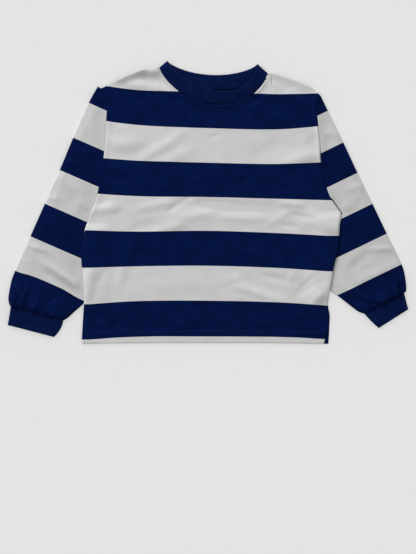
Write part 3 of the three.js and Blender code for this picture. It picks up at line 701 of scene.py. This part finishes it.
def jersey(painted_shade_of_piece):
    """Brushed-back jersey in yarn-dyed stripes: columns of small V stitches under a faint fuzz, its colour
    darkened by the piece's painted shade.
    """
    s = Shader(f"striped jersey at {painted_shade_of_piece}")
    place, across, along = cloth_coordinates(s)
    ragged = s.math("MULTIPLY", s.around_zero(place, RAGGED), STRIPE_RAGGED)
    number = s.math("ADD", s.node("ShaderNodeAttribute", attribute_name="stripe").outputs["Fac"], ragged)
    half = s.math("FLOORED_MODULO", number, 2.0)
    from_edge = s.math("MINIMUM", s.math("SUBTRACT", half, 1.0), s.math("SUBTRACT", 2.0, half))
    navy = s.node(
        "ShaderNodeMapRange",
        {"Value": from_edge, "From Min": -STRIPE_BLUR / 2, "From Max": STRIPE_BLUR / 2},
        interpolation_type="SMOOTHSTEP",
    ).outputs[0]
    mottle = s.around_zero(place, MOTTLE)
    fleck = s.noise(place, FLECK)
    mottle_depth = s.line(navy, NAVY_MOTTLE - WHITE_MOTTLE, WHITE_MOTTLE)
    # the piece's painted shade darkens the colour here, together with the random mottle
    tone = s.line(mottle, mottle_depth, painted_shade_of_piece)
    tone = s.math("MULTIPLY", tone, s.around_one(fleck, FLECK_DEPTH))
    stretched = {0: s.math("MULTIPLY", across, SLUB_ACROSS), 1: s.math("MULTIPLY", along, SLUB_ALONG)}
    slub_place = s.node("ShaderNodeCombineXYZ", stretched).outputs[0]
    slub = s.around_zero(slub_place, SLUB)
    slub_depth = s.line(navy, NAVY_SLUB - WHITE_SLUB, WHITE_SLUB)
    tone = s.math("MULTIPLY", tone, s.line(slub, slub_depth, 1.0))
    colour = s.scaled(s.mix(navy, (*OFF_WHITE, 1), (*NAVY, 1)), tone)
    column = s.wave(across, WALE)
    lean = s.math("MULTIPLY", s.math("PINGPONG", across, WALE / 2), STITCH_LEAN)
    row = s.wave(s.math("ADD", along, lean), COURSE)
    knit = s.math("MULTIPLY", column, s.line(row, COURSE_DEPTH, 1 - COURSE_DEPTH))
    fuzz = s.math("MULTIPLY", s.noise(place, FUZZ), FUZZ_HEIGHT)
    return cloth_finish(s, colour, s.line(knit, KNIT_HEIGHT, fuzz), JERSEY_FINISH)


def ribbing():
    """Navy ribbing. Its ribs are in the mesh, and the knit's small stitches run along them."""
    s = Shader("navy ribbing")
    place, _, along = cloth_coordinates(s)
    row = s.wave(along, COURSE)
    fuzz = s.noise(place, RIB_FUZZ)
    fleck = s.noise(place, RIB_FLECK)
    mottle = s.around_zero(place, RIB_PATCHES)
    tone = s.line(mottle, RIB_MOTTLE, s.around_one(fleck, RIB_FLECK_DEPTH))
    colour = s.scaled(RIB_NAVY, tone)
    height = s.line(row, RIB_KNIT_HEIGHT, s.math("MULTIPLY", fuzz, RIB_FUZZ_HEIGHT))
    return cloth_finish(s, colour, height, RIB_FINISH)


def plain(name, colour, roughness):
    s = Shader(name)
    place = s.node("ShaderNodeTexCoord").outputs["Object"]
    shade = s.scaled(colour, s.around_one(s.noise(place, GRAIN), PLAIN_DEPTH))
    s.tree.links.new(shade, s.surface.inputs["Base Color"])
    return s.finish({"Roughness": roughness, "Specular IOR Level": 0.2})


def thread():
    """Thread dyed to match the stripe under it, a little paler than the navy and darker than the white."""
    s = Shader("sewing thread")
    number = s.node("ShaderNodeAttribute", attribute_name="stripe").outputs["Fac"]
    navy = s.math("GREATER_THAN", s.math("FLOORED_MODULO", number, 2.0), 1.0)
    place = cloth_coordinates(s)[0]
    base = s.mix(navy, (*WHITE_THREAD, 1), (*NAVY_THREAD, 1))
    return cloth_finish(s, base, s.noise(place, TWIST), THREAD_FINISH, unit=0.1)


STRIPED = jersey(1)
THREAD_MATERIAL = thread()
# the sleeves' copy of the jersey, darkened as painted shade
SLEEVE_STRIPED_SHADED = jersey(SLEEVE_PAINTED_SHADE)
RIBBED = ribbing()


def back_panel():
    panel = Panel("back", BACK_STEP)
    at = panel.at
    up = at[..., 1]
    base = body_lift(at)
    drop = edge_drop(panel.from_outline, SEAM_EDGE)
    edges = stripe_edges(at[..., 0])
    # partly painted shade: the top stripe rises so that the shaded strip seen inside the neck is navy
    edges[0] = edges[0] + BACK_TOP_SHADE_RISE
    edges[-1] = edges[-1] - BACK_LOWEST_FALL
    upper = with_height(at, base + panel_wall(up) - drop)
    return shell("back", upper, with_height(at, base), STRIPED, at, stripe_number(up, edges))


def front_panel():
    panel = Panel("front", FRONT_STEP)
    at = panel.at
    up = at[..., 1]
    loft = LOFT * smooth(panel.from_outline, 0, LOFT_WIDTH)
    creases = folds_at(BODY_FOLDS, at) + undulation(at, UNEVEN)
    relief = np.maximum(0, loft + creases * smooth(panel.from_outline, 0, CREASE_RAMP))
    from_neck = np.full(up.shape, np.inf)
    for x, y in bowed(NECK_SEAM["front"], np.linspace(0, 1, NECK_SAMPLES)):
        from_neck = np.minimum(from_neck, np.hypot(at[..., 0] - x, up - y))
    rise = NECK_RISE * (1 - smooth(from_neck, 0, NECK_RISE_WIDTH))
    rise = rise + NECK_RIDGE * np.exp(-(((from_neck - NECK_RIDGE_FROM) / NECK_RIDGE_WIDTH) ** 2))
    ridge = sum(
        ARMHOLE_RIDGE[side] * (1 - smooth(from_edge, ARMHOLE_EDGE.width, RIDGE_REACH)) * panel.in_armhole
        for side, from_edge in (("left", panel.from_left), ("right", panel.from_right))
    )
    base = body_lift(at) + panel_wall(up) + LAYER_GAP + np.maximum(relief, rise) + ridge
    at_side, at_armhole = (edge_drop(panel.from_side, edge) for edge in (SIDE_EDGE, ARMHOLE_EDGE))
    at_hem, at_shoulder = edge_drop(panel.from_hem, HEM_EDGE), edge_drop(panel.from_top, SHOULDER_EDGE)
    drop = np.maximum.reduce([lerp(at_side, at_armhole, panel.in_armhole), at_hem, at_shoulder])
    upper = with_height(at, base + panel_wall(up) - drop)
    stripe = stripe_number(up, stripe_edges(at[..., 0]))
    return shell("front", upper, with_height(at, base), STRIPED, at, stripe)


FOLD_ANGLES = np.radians([-75, -55, -35, -12, 12, 35, 55, 75])


def flat_tube(name, material, top, rows, top_shares, bottom_shares, wall, height, weave_of, end_drop,
              stripe_of=None, bottom=None, relief=None, ribs=0, turned=False):
    """A flattened tube: two layers that join in a round fold at each side.

    top and bottom give their places by share across and along. end_drop is how far the cloth has turned
    down at each row, or, where it is ribbed, how far each face has thinned."""
    bottom = bottom or top
    v = np.asarray(rows, float)
    half = (height(v) / 2)[:, None]
    middle = top(np.full_like(v, 0.5), v)
    width = sum(np.hypot(*(top(np.full_like(v, end), v) - middle).T) for end in (0.0, 1.0))[:, None]
    clear = half / width
    parts = []

    def add(share_out, share_in, z_out, z_in, is_top):
        parts.append(np.broadcast_arrays(share_out, share_in, z_out, z_in, is_top + 0 * share_out))

    def fold(angles, far):
        cos, sin = np.cos(angles)[None, :], np.sin(angles)[None, :]
        out, into = ((half - r * cos) / width for r in (half, half - wall))
        if far:
            out, into = 1 - out, 1 - into
        add(out, into, half + half * sin, half + (half - wall) * sin, sin > 0)

    fold(FOLD_ANGLES, False)
    over = clear + (1 - 2 * clear) * top_shares[None, :]
    add(over, over, 2 * half, 2 * half - wall, True)
    fold(FOLD_ANGLES[::-1], True)
    under = clear + (1 - 2 * clear) * bottom_shares[::-1][None, :]
    add(under, under, 0, wall, False)
    share_out, share_in, z_out, z_in, is_top = (np.concatenate(grids, axis=1) for grids in zip(*parts))
    is_top = is_top > 0
    v_grid = v[:, None] + 0 * share_out
    out, into = (
        np.where(is_top[..., None], top(share, v_grid), bottom(share, v_grid))
        for share in (share_out, share_in)
    )
    upper_layer = slice(len(FOLD_ANGLES), len(FOLD_ANGLES) + len(top_shares))
    if relief:
        raised = relief(share_out, v_grid, out)[:, upper_layer]
        z_out[:, upper_layer] += raised
        z_in[:, upper_layer] += raised
    drop = end_drop[:, None] * np.where(is_top, 1, -1)
    z_out = z_out - (drop if ribs else drop * is_top)
    if ribs:
        outside, inside = np.zeros((2, share_out.shape[1]))
        outside[upper_layer] = 0.5 - 0.5 * np.cos(2 * math.pi * ribs * top_shares)
        inside[-len(bottom_shares) :] = 0.5 - 0.5 * np.cos(2 * math.pi * ribs * bottom_shares[::-1])
        fade = (1 - end_drop / end_drop.max())[:, None]
        z_out = z_out + RIB_DEPTH * outside * fade
        z_in = z_in + drop + RIB_DEPTH * inside * fade
    upper, lower = with_height(out, z_out), with_height(into, z_in)
    stripe = stripe_of(out) if stripe_of else None
    return shell(name, upper, lower, material, weave_of(out, share_out, v_grid), stripe, turned, closed=True)


def cuff_edge(side, fold):
    start, end, bow = CUFF_FOLDS[side][fold]
    start, end = np.array((start, end), float)
    out = OUTWARD[side] * (1 if fold == "outer" else -1)

    def edge(t):
        t = np.asarray(t, float)[..., None]
        return lerp(start, end, t) + np.array([out * bow, 0]) * 4 * t * (1 - t)

    return edge


def sleeve_surface(side, layer):
    """A sleeve's front or back layer, by share across and share along, and its length."""
    cuff_outer, cuff_inner = (cuff_edge(side, fold)(np.zeros(1))[0] for fold in ("outer", "inner"))
    down = np.linspace(0, 1, ARMHOLE_SAMPLES)
    gap = SEAM_GAP + (beyond(1 - down) if layer == "back" else 0 * down)
    seam_points = armhole[side].moved_out(1 - down, side, gap)

    def seam(u):
        return np.stack([np.interp(u, down, seam_points[:, k]) for k in (0, 1)], axis=-1)

    def beside_body(row):
        return Place(float(side_seam[side].x_at(row.up)) - OUTWARD[side] * row.inside, row.up)

    first, last = seam_points[0], seam_points[-1]
    beside = [beside_body(row) for row in INNER_BESIDE[side]]
    outer = Curve([first, *SLEEVE_OUTER[side], cuff_outer])
    inner = Curve([last, *beside, *INNER_FREE[side], cuff_inner])

    def surface(u, v):
        share = lerp(np.maximum(0, (v - FAN) / (1 - FAN)) ** FAN_POWER, v, FAN_CREEP)
        bend = seam(u) - lerp(first, last, u[..., None])
        across = lerp(outer(v), inner(share), u[..., None])
        return across + bend * (1 - smooth(v, 0, BEND_FADES))[..., None]

    return surface, outer.length


def sleeve(side):
    surface, length = sleeve_surface(side, "front")
    under = sleeve_surface(side, "back")[0]
    line = np.array(SLEEVE_LINE[side]) / np.linalg.norm(SLEEVE_LINE[side])
    to_body = np.array([-line[1], line[0]]) * -OUTWARD[side]

    def relief(u, v, at):
        outside = OUTWARD[side] * (at[..., 0] - body_x(side, at[..., 1]))
        from_fold = np.minimum(u, 1 - u)
        off_fold = smooth(from_fold, 0, SLEEVE_CREASE_SIDE)
        clear = smooth(outside, *SLEEVE_LOFT_RAMP) * smooth(from_fold, 0, SLEEVE_LOFT_SIDE)
        creased = smooth(outside, *SLEEVE_CREASE_RAMP) * off_fold
        near_cuff = smooth(v, SLEEVE_SWELL_FROM, 1)
        soft = SLEEVE_LOFT * clear * (1 - near_cuff) + folds_at(SLEEVE_FOLDS[side], at) * creased
        gathered = (GATHER_FLOOR + PUFF) * smooth(v, *PUFF_RAMP)
        for g in GATHERS[side]:
            across = (u - g.across) / g.width
            gathered = gathered + g.height * np.exp(-(across**2)) * smooth(v, 1 - g.reach, 1 - g.reach / 3)
        down = smooth((1 - v) * length, 0, PUFF_FALL)
        in_armhole = smooth(at[..., 1] - UNDERARM[side].up, *SLEEVE_HEAD_RAMP)
        head = SLEEVE_HEAD_ROLL[side] * np.exp(-((outside / SLEEVE_HEAD_FALL) ** 2)) * in_armhole
        soft = soft + undulation(at, UNEVEN) * creased + (head + gathered) * off_fold
        return np.maximum(0, soft) * down

    def stripe_of(at):
        """The stripe numbers, which are navy ones in the sliver beside the body, painted shade for the gap
        at the seam.
        """
        edges = [-edge + 0 * at[..., 0] for edge in SLEEVE_STRIPES[side]]
        edges[-1] = edges[-1] + folds_at([STRIPE_BOW[side]], at)
        number = 1 + stripe_number(-(at @ line), edges)
        up = at[..., 1]
        beside = OUTWARD[side] * (at[..., 0] - body_x(side, up)) < SHADE_SLIVER_WIDTH
        # painted shade: the sleeve's cloth is coloured navy in this sliver, where the seam's gap lies in
        # shade
        shade_sliver = (side == "right") & beside & (up > SHADE_SLIVER_FROM) & (up < SHADE_SLIVER_TO)
        return np.where(shade_sliver, np.ceil(number / 2) * 2 + INTO_NAVY, number)

    def weave_of(at, u, v):
        return np.stack([at @ to_body, at @ line], axis=-1)

    rows = shares(length, SLEEVE_STEP)
    from_end = np.minimum(rows, 1 - rows) * length
    head_drop = edge_drop(from_end, SLEEVE_HEAD_EDGE)
    return flat_tube(
        f"sleeve_{side}",
        SLEEVE_STRIPED_SHADED,
        surface,
        rows,
        np.linspace(0, 1, SLEEVE_ACROSS + 1),
        np.linspace(0, 1, SLEEVE_ACROSS // 2 + 1),
        CLOTH,
        lambda v: lerp(SLEEVE_HEIGHT, RIB_HEIGHT, smooth(v, SLEEVE_SWELL_FROM, 1)),
        weave_of,
        np.where(rows < 0.5, head_drop, edge_drop(from_end, SEAM_EDGE)),
        stripe_of,
        bottom=under,
        relief=relief,
        turned=side == "right",
    )


def ribbed_tube(name, kind, top, width, length, seam, **settings):
    """Ribbing folded double at its far edge. seam is how its near edge thins."""
    rows = shares(length, RIB_ROW_STEP[kind])
    ribs = round(width / RIB_PITCH)
    folded_edge = edge_drop((1 - rows) * length, RIB_FOLD_EDGE)
    return flat_tube(
        name,
        RIBBED,
        top,
        rows,
        np.linspace(0, 1, ribs * RIB_STEPS + 1),
        np.linspace(0, 1, RIB_UNDER[kind] + 1),
        RIB_CLOTH,
        lambda v: RIB_HEIGHT + 0 * v,
        lambda at, u, v: np.stack([u * width, v * length], axis=-1),
        np.maximum(folded_edge, edge_drop(rows * length, seam)),
        ribs=ribs,
        **settings,
    )


def cuff(side):
    outer, inner = cuff_edge(side, "outer"), cuff_edge(side, "inner")
    length = float(np.hypot(*(outer(1) - outer(0))))
    width = float(np.hypot(*(outer(0.5) - inner(0.5))))

    def surface(u, v):
        t = lerp(SEAM_GAP / length, 1, v)
        return lerp(outer(t), inner(t), u[..., None])

    turned = side == "right"
    return ribbed_tube(f"cuff_{side}", "cuff", surface, width, length, CUFF_SEAM_EDGE, turned=turned)


def neckband():
    starts = {"front": SEAM_GAP / BAND_DEPTH, "back": -BAND_OVER_BACK / BAND_DEPTH}

    def strip(part):
        def surface(u, v):
            seam, edge = bowed(NECK_SEAM[part], u), bowed(BAND_EDGE[part], u)
            return lerp(seam, edge, lerp(starts[part], 1, v)[..., None])

        return surface

    def relief(u, v, at):
        rim = BAND_RIM * np.exp(-(((v - BAND_RIM_AT) / BAND_RIM_WIDTH) ** 2))
        return BAND_PUFF * smooth(v, 0, 0.5) * (1 - smooth(v, 0.8, 1)) + rim

    front = strip("front")
    middle = front(np.linspace(0, 1, 200), np.full(200, 0.5))
    length = float(np.hypot(*np.diff(middle, axis=0).T).sum())
    shape = {"bottom": strip("back"), "relief": relief, "turned": True}
    return ribbed_tube("neckband", "neckband", front, length, BAND_DEPTH, BAND_SEAM_EDGE, **shape)


# A row of sewing stitches on the front: its places, and whether its thread is dark on white cloth
StitchRow = namedtuple("StitchRow", "places dark")
NAVY_MIDDLE = 1.5  # the stripe number of a dark thread
RAY_FROM = 100  # threads are dropped onto the cloth from this height


def below_neck(distance):
    """A line that follows the front neck seam, outside it."""
    line = bowed(NECK_SEAM["front"], np.linspace(0.04, 0.96, 120))
    ahead = np.gradient(line, axis=0)
    ahead /= np.linalg.norm(ahead, axis=1, keepdims=True)
    return line + np.stack([ahead[:, 1], -ahead[:, 0]], axis=1) * distance


def beside_seam(side, inside, low, high):
    """A line up the body, inside a side seam."""
    up = np.linspace(low, high, 30)
    x = Panel.side("front", side)(up / side_seam[side].length * UNDERARM_ROW)[:, 0]
    return np.stack([x - OUTWARD[side] * inside, up], axis=1)


def stitches(name, cloth, rows):
    """Short threads that lie end to end along each row, on the cloth's own surface."""
    faces = [polygon.vertices for polygon in cloth.data.polygons]
    surface = BVHTree.FromPolygons([vertex.co for vertex in cloth.data.vertices], faces)
    down = Vector((0, 0, -1))
    turn = np.linspace(0, 2 * math.pi, THREAD_SIDES, endpoint=False)
    one_stitch = ring_quads(len(THREAD_SHAPE), THREAD_SIDES, closed=True)[0]
    places, stripe, quads = [], [], []
    for row in rows:
        line = Curve(row.places, 4)
        for k in range(int(line.length / STITCH_PITCH)):
            share = (k * STITCH_PITCH + np.linspace(0, STITCH, len(THREAD_SHAPE))) / line.length
            at = line(share)
            above = [Vector((x, up - BODY_LENGTH / 2, RAY_FROM)) * MM for x, up in at]
            height = np.array([surface.ray_cast(place, down)[0].z / MM for place in above])
            side = np.array([at[-1, 1] - at[0, 1], at[0, 0] - at[-1, 0]])
            side /= np.linalg.norm(side)
            first = len(places)
            for centre, z, share_of_width in zip(at, height, THREAD_SHAPE):
                radius = THREAD / 2 * share_of_width
                flat = centre + side * np.cos(turn)[:, None] * radius
                rise = z + THREAD / 2 * (2 * share_of_width - 1) + np.sin(turn) * radius
                places.extend(np.concatenate([flat, rise[:, None]], axis=1))
            edges = [float(edge) for edge in stripe_edges(at[1, 0])]
            number = NAVY_MIDDLE if row.dark else float(stripe_number(at[1, 1], edges))
            stripe.extend([number] * (len(places) - first))
            quads.extend(one_stitch + first)
    places = np.array(places)
    return mesh_object(name, places, np.array(quads), THREAD_MATERIAL, places[:, :2], np.array(stripe))


def hem_row(up):
    """A line across the front, a little higher in its middle as the hem is."""
    return [(-194, up), (-70, up + 0.6), (60, up + 0.6), (182, up)]


def front_stitches(cloth):
    """Stitching below the neckband, two rows at the hem and two up each vent, and three short dark marks."""
    rows = [StitchRow(below_neck(2.4), False)]
    rows += [StitchRow(hem_row(up), False) for up in (15.5, 18)]
    rows += [StitchRow(beside_seam("left", inside, 20, 60), False) for inside in (3.5, 6.5)]
    rows += [StitchRow(beside_seam("right", inside, 20, 40), False) for inside in (3, 5.5)]
    rows.append(StitchRow([(-197.6, 1), (-197.6, 9)], True))
    rows.append(StitchRow([(176.4, 0.5), (177, 6)], True))
    rows.append(StitchRow([(101.4, 415), (101.6, 427)], True))
    return stitches("front_stitches", cloth, rows)


def stage(pieces):
    """The floor, the camera and the lights."""
    scene = bpy.context.scene
    middle = Vector((0, (PHOTO_MIDDLE_UP - BODY_LENGTH / 2) * MM, 0))
    bpy.ops.mesh.primitive_plane_add(size=FLOOR_SIZE, location=(0, 0, -FLOOR_BELOW))
    floor = bpy.context.object
    floor.name = "floor"
    floor.data.materials.append(plain("pale floor", FLOOR, 0.9))

    camera = bpy.data.cameras.new("camera")
    camera.sensor_width = SENSOR
    camera.lens = SENSOR * CAMERA_HEIGHT / (PHOTO_HEIGHT * PIXEL)
    camera.clip_end = 50
    holder = bpy.data.objects.new("camera", camera)
    holder.location = middle + Vector((0, 0, CAMERA_HEIGHT * MM))
    scene.collection.objects.link(holder)
    scene.camera = holder

    world = bpy.data.worlds.new("studio")
    world.use_nodes = True
    background = world.node_tree.nodes["Background"]
    background.inputs["Color"].default_value = (1, 1, 1, 1)
    background.inputs["Strength"].default_value = WORLD_STRENGTH
    scene.world = world

    # The cloth has a soft lamp of its own, and the floor even light from straight above
    cloth_key = bpy.data.lights.new("cloth key", "AREA")
    cloth_key.shape = "RECTANGLE"
    cloth_key.size, cloth_key.size_y = KEY_SIZE
    cloth_key.energy = KEY_POWER
    floor_key = bpy.data.lights.new("floor key", "SUN")
    floor_key.energy = FLOOR_POWER
    overhead = (0, 0, 1)
    for lamp, objects, place in ((cloth_key, pieces, KEY_FROM), (floor_key, [floor], overhead)):
        holder = bpy.data.objects.new(lamp.name, lamp)
        holder.location = middle + Vector(place)
        holder.rotation_euler = (middle - holder.location).to_track_quat("-Z", "Y").to_euler()
        scene.collection.objects.link(holder)
        receivers = bpy.data.collections.new(f"lit by the {lamp.name}")
        for obj in objects:
            receivers.objects.link(obj)
        holder.light_linking.receiver_collection = receivers
    scene.view_settings.view_transform = "Standard"


back = back_panel()
front = front_panel()
sleeves = {side: sleeve(side) for side in OUTWARD}
cuffs = {side: cuff(side) for side in OUTWARD}
band = neckband()
threads = front_stitches(front)

pieces = [(back, "back", "jersey_back"), (front, "front", "jersey_front"), (band, "neckband", "rib_neck")]
for side in OUTWARD:
    pieces.append((sleeves[side], f"sleeve_{side}", f"jersey_sleeve_{side}"))
    pieces.append((cuffs[side], f"cuff_{side}", "rib_cuffs"))
for piece, node, slot in pieces:
    piece.name = f"{node}_cloth"
    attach(piece, "root")
    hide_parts(node)

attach(threads, "root")

stage([piece for piece, _, _ in pieces] + [threads])
